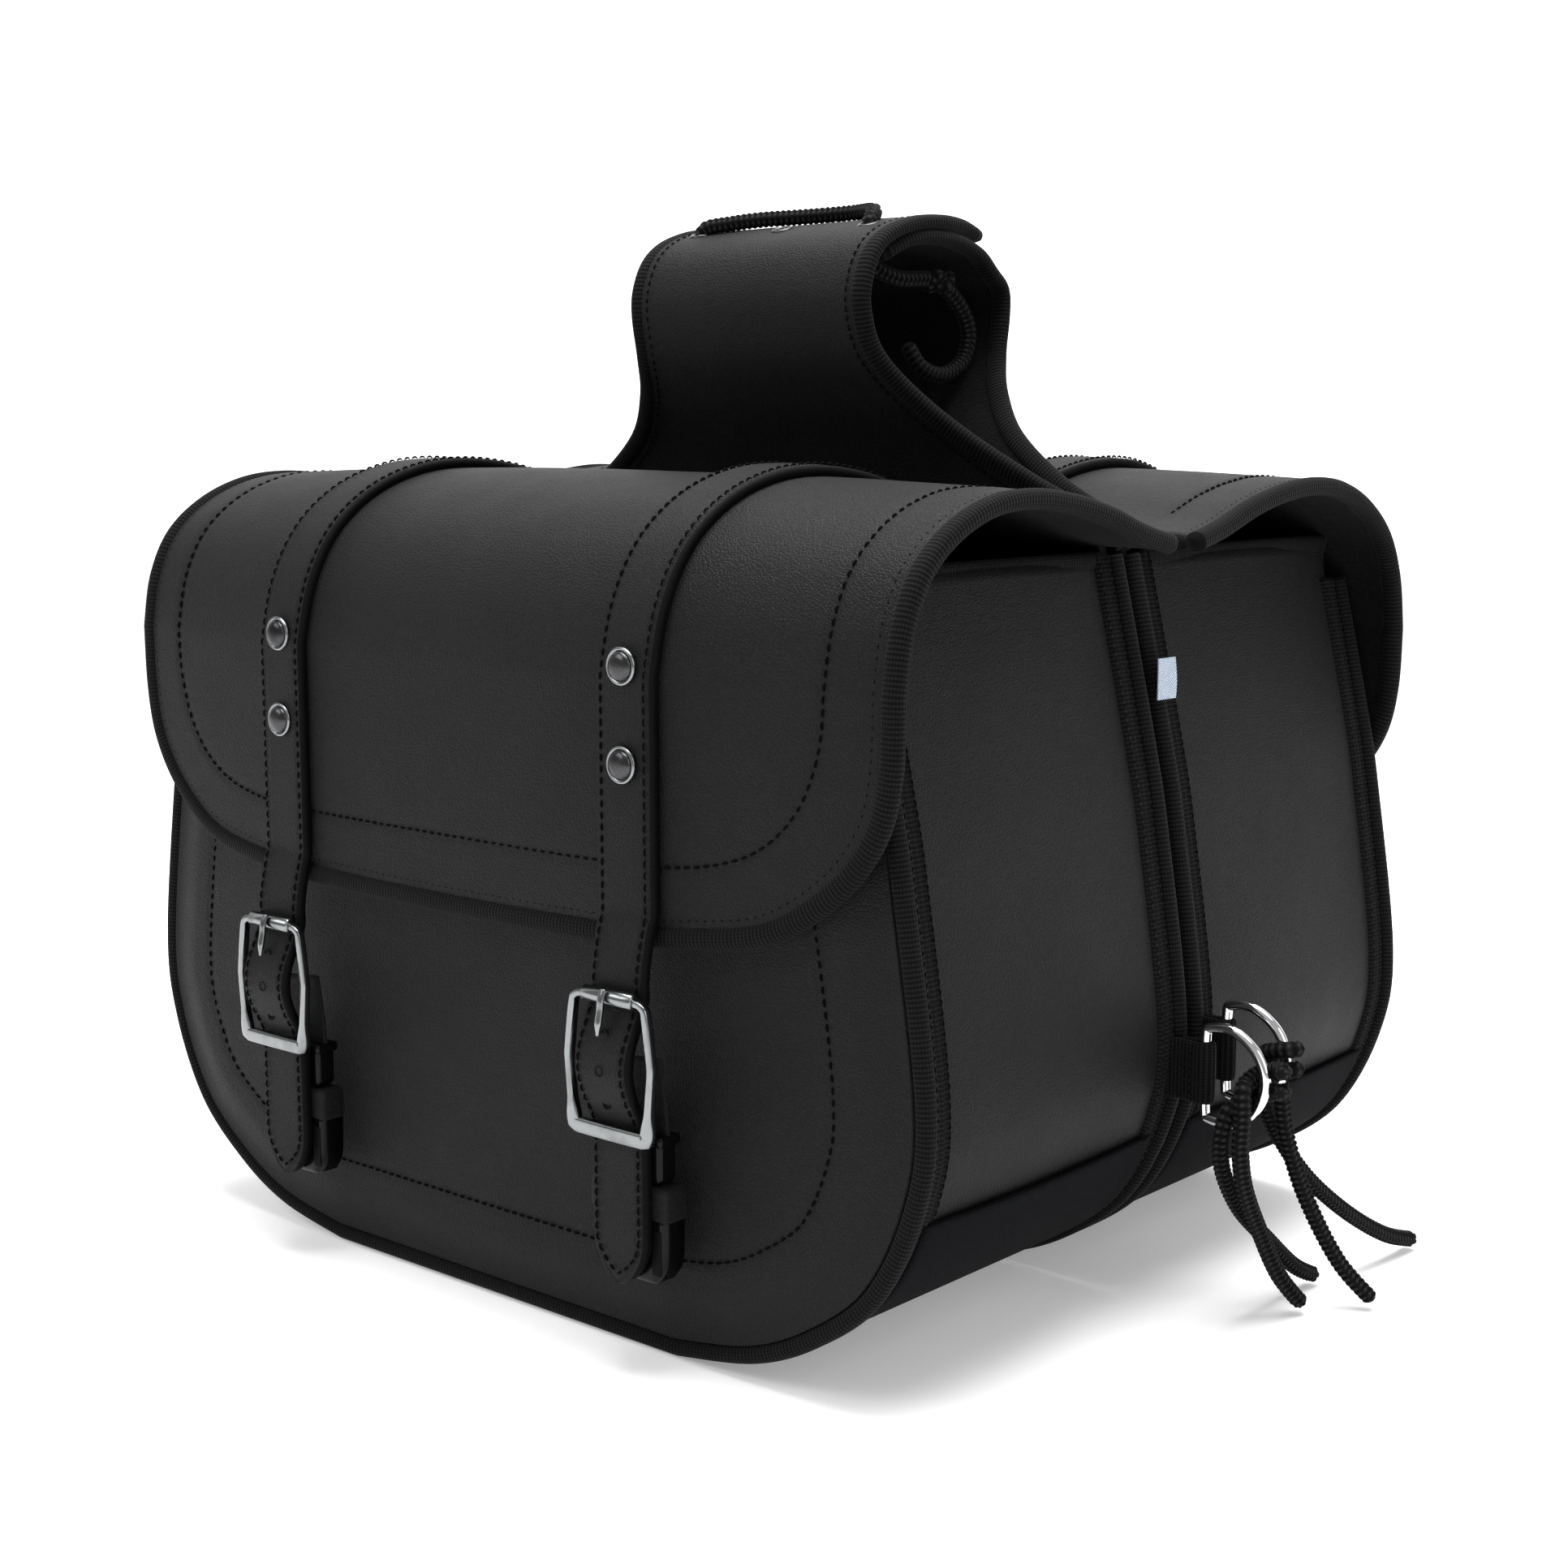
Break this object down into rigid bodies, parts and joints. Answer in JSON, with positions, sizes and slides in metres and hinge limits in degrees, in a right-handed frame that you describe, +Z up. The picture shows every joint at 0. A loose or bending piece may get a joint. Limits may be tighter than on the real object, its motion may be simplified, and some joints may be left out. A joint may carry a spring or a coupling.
{
  "type": "motorcycle saddlebag pair",
  "caption": "Pair of soft throw-over motorcycle bags with arched strapped lids, joined back to back by a laced yoke.",
  "frame": {"origin": "middle of the pair's footprint on the floor it stands on", "axes": "+Z up; X along the bags' length, +X towards the ends that carry the D-rings and tie cords; the front bag is on the -Y side and the rear bag on the +Y side"},
  "size_m": [0.4946, 0.4108, 0.4373],
  "materials": {
    "leather": "black grained leatherette, semi-matte",
    "woven": "dense dark blue-black woven fabric",
    "tape": "black ribbed binding tape",
    "nickel": "antique nickel",
    "chrome": "polished",
    "clip": "gloss black",
    "cord": "black herringbone braid",
    "label": "plain pale woven tag, blank"
  },
  "bodies": {
    "front_tail_right": {"front_strap_tail_right": "leather", "front_buckle_frame_right": "nickel", "front_clip_male_right": "clip"},
    "front_prong_right": {"front_buckle_prong_right": "nickel"},
    "front_clip_right": {"front_clip_female_right": "clip"},
    "front_tail_left": {"front_strap_tail_left": "leather", "front_buckle_frame_left": "nickel", "front_clip_male_left": "clip"},
    "front_prong_left": {"front_buckle_prong_left": "nickel"},
    "front_clip_left": {"front_clip_female_left": "clip"},
    "front_lid": {"front_lid": "leather", "front_lid_binding": "tape", "front_strap_right": "leather", "front_rivet_right_upper": "nickel", "front_rivet_right_lower": "nickel", "front_strap_left": "leather", "front_rivet_left_upper": "nickel", "front_rivet_left_lower": "nickel"},
    "front_ring": {"front_d_ring": "chrome", "front_tie_cord_a": "cord", "front_tie_cord_b": "cord"},
    "front_bag": {"front_outer_panel": "leather", "front_inner_panel": "leather", "front_outer_binding": "tape", "front_inner_binding": "tape", "front_gusset": "leather", "front_gusset_band": "woven", "front_ring_tab": "tape", "yoke_front_half": "leather"},
    "rear_tail_right": {"rear_strap_tail_right": "leather", "rear_buckle_frame_right": "nickel", "rear_clip_male_right": "clip"},
    "rear_prong_right": {"rear_buckle_prong_right": "nickel"},
    "rear_clip_right": {"rear_clip_female_right": "clip"},
    "rear_tail_left": {"rear_strap_tail_left": "leather", "rear_buckle_frame_left": "nickel", "rear_clip_male_left": "clip"},
    "rear_prong_left": {"rear_buckle_prong_left": "nickel"},
    "rear_clip_left": {"rear_clip_female_left": "clip"},
    "rear_lid": {"rear_lid": "leather", "rear_lid_binding": "tape", "rear_strap_right": "leather", "rear_rivet_right_upper": "nickel", "rear_rivet_right_lower": "nickel", "rear_strap_left": "leather", "rear_rivet_left_upper": "nickel", "rear_rivet_left_lower": "nickel"},
    "rear_ring": {"rear_d_ring": "chrome", "rear_tie_cord_a": "cord", "rear_tie_cord_b": "cord"},
    "rear_bag": {"rear_outer_panel": "leather", "rear_inner_panel": "leather", "rear_outer_binding": "tape", "rear_inner_binding": "tape", "rear_gusset": "leather", "rear_gusset_band": "woven", "rear_ring_tab": "tape", "yoke_rear_half": "leather", "lace": "cord", "label": "label"}
  },
  "joints": [
    {"name": "yoke_fold", "type": "hinge", "parent": "rear_bag", "child": "front_bag", "pos_m": [0.00836, 0.03, 0.421], "axis": [-1, 0, 0], "range_deg": [0, 50], "deforming": ["lace"]},
    {"name": "front_strap_tail_right_swing", "type": "hinge", "parent": "front_lid", "child": "front_tail_right", "pos_m": [0.07836, -0.1915, 0.1712], "axis": [-1, 0, 0], "range_deg": [0, 75]},
    {"name": "front_buckle_prong_right_lift", "type": "hinge", "parent": "front_tail_right", "child": "front_prong_right", "pos_m": [0.07836, -0.198, 0.144], "axis": [-1, 0, 0], "range_deg": [0, 60]},
    {"name": "front_clip_right_release", "type": "slide", "parent": "front_bag", "child": "front_clip_right", "axis": [0, 0, -1], "range_m": [0, 0.016]},
    {"name": "front_strap_tail_left_swing", "type": "hinge", "parent": "front_lid", "child": "front_tail_left", "pos_m": [-0.11764, -0.1915, 0.1712], "axis": [-1, 0, 0], "range_deg": [0, 75]},
    {"name": "front_buckle_prong_left_lift", "type": "hinge", "parent": "front_tail_left", "child": "front_prong_left", "pos_m": [-0.11764, -0.198, 0.144], "axis": [-1, 0, 0], "range_deg": [0, 60]},
    {"name": "front_clip_left_release", "type": "slide", "parent": "front_bag", "child": "front_clip_left", "axis": [0, 0, -1], "range_m": [0, 0.016]},
    {"name": "front_lid_open", "type": "hinge", "parent": "front_bag", "child": "front_lid", "pos_m": [-0.01964, -0.007, 0.3005], "axis": [-1, 0, 0], "range_deg": [0, 38]},
    {"name": "front_d_ring_swing", "type": "hinge", "parent": "front_bag", "child": "front_ring", "pos_m": [0.21036, -0.0092, 0.101], "axis": [0, 0, -1], "range_deg": [0, 20]},
    {"name": "rear_strap_tail_right_swing", "type": "hinge", "parent": "rear_lid", "child": "rear_tail_right", "pos_m": [-0.11764, 0.1915, 0.1712], "axis": [1, 0, 0], "range_deg": [0, 75]},
    {"name": "rear_buckle_prong_right_lift", "type": "hinge", "parent": "rear_tail_right", "child": "rear_prong_right", "pos_m": [-0.11764, 0.198, 0.144], "axis": [1, 0, 0], "range_deg": [0, 60]},
    {"name": "rear_clip_right_release", "type": "slide", "parent": "rear_bag", "child": "rear_clip_right", "axis": [0, 0, -1], "range_m": [0, 0.016]},
    {"name": "rear_strap_tail_left_swing", "type": "hinge", "parent": "rear_lid", "child": "rear_tail_left", "pos_m": [0.07836, 0.1915, 0.1712], "axis": [1, 0, 0], "range_deg": [0, 75]},
    {"name": "rear_buckle_prong_left_lift", "type": "hinge", "parent": "rear_tail_left", "child": "rear_prong_left", "pos_m": [0.07836, 0.198, 0.144], "axis": [1, 0, 0], "range_deg": [0, 60]},
    {"name": "rear_clip_left_release", "type": "slide", "parent": "rear_bag", "child": "rear_clip_left", "axis": [0, 0, -1], "range_m": [0, 0.016]},
    {"name": "rear_lid_open", "type": "hinge", "parent": "rear_bag", "child": "rear_lid", "pos_m": [-0.01964, 0.007, 0.3005], "axis": [1, 0, 0], "range_deg": [0, 38]},
    {"name": "rear_d_ring_swing", "type": "hinge", "parent": "rear_bag", "child": "rear_ring", "pos_m": [0.20836, 0.0092, 0.101], "axis": [0, 0, 1], "range_deg": [0, 30]}
  ]
}
